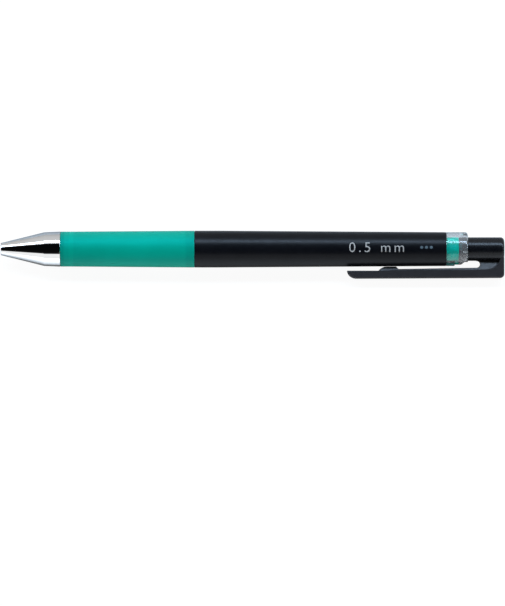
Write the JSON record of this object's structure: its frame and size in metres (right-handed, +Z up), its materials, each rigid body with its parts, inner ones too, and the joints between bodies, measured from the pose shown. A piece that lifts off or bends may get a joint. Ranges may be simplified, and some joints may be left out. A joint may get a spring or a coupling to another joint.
{
  "type": "retractable gel pen",
  "caption": "Retractable gel pen with a chromed nose cone, translucent green rubber grip, black barrel, clear collar and a push button that carries the spring clip.",
  "frame": {"origin": "on the surface the pen lies on, under the middle of its bounding box", "axes": "+X along the pen towards the push button, -X towards the writing tip, +Z up; the pen lies on its barrel and on the clip, which points towards -Y and 25.4 degrees down"},
  "size_m": [0.142, 0.0134, 0.0104],
  "materials": {
    "chromed_metal": "polished chrome plate on turned metal",
    "green_rubber": "translucent satin elastomer",
    "natural_plastic": "translucent natural moulding",
    "black_plastic": "satin moulded plastic",
    "clear_plastic": "clear moulded plastic",
    "green_plastic": "moulded plastic in the ink's colour",
    "white_plastic": "moulded acetal",
    "spring_steel": "drawn wire",
    "tip_metal": "fine turned nickel silver",
    "carbide": "ground",
    "refill_plastic": "translucent extruded tube",
    "gel_ink": "wet gel",
    "grease": "clear grease"
  },
  "bodies": {
    "barrel": {"barrel": "black_plastic", "grip_core": "natural_plastic", "grip_sleeve": "green_rubber", "cam_sleeve": "clear_plastic", "return_spring": "spring_steel"},
    "nose": {"nose_cone": "chromed_metal"},
    "button": {"push_button": "black_plastic", "plunger": "green_plastic"},
    "clip": {"clip_arm": "black_plastic"},
    "refill": {"refill_tip": "tip_metal", "tip_ball": "carbide", "tip_spring": "spring_steel", "refill_tip_holder": "white_plastic", "refill_tube": "refill_plastic", "gel_ink": "gel_ink", "ink_follower": "grease", "refill_tail_plug": "white_plastic"},
    "rotor": {"cam_rotor": "white_plastic"}
  },
  "joints": [
    {"name": "button_press", "type": "slide", "parent": "barrel", "child": "button", "axis": [-1, 0, 0], "range_m": [0, 0.006], "stiffness_N_per_m": 350, "springref_m": -0.0035},
    {"name": "refill_advance", "type": "slide", "parent": "barrel", "child": "refill", "axis": [-1, 0, 0], "range_m": [0, 0.006], "deforming": ["return_spring"]},
    {"name": "rotor_index", "type": "hinge", "parent": "refill", "child": "rotor", "pos_m": [0.044, 0.00151, 0.00519], "axis": [1, 0, 0], "range_deg": [0, 24]},
    {"name": "clip_flex", "type": "hinge", "parent": "button", "child": "clip", "pos_m": [0.06, -0.0046, 0.00228], "axis": [0, -0.4296, 0.903], "range_deg": [0, 4.5], "stiffness_Nm_per_rad": 1.3, "springref_deg": -1.15},
    {"name": "nose_unscrew", "type": "slide", "parent": "barrel", "child": "nose", "axis": [-1, 0, 0], "range_m": [0, 0.016]}
  ],
  "couplings": [
    {"joint": "refill_advance", "follows": "button_press", "ratio": 1},
    {"joint": "rotor_index", "follows": "button_press", "rad_per_m": 65.4}
  ]
}
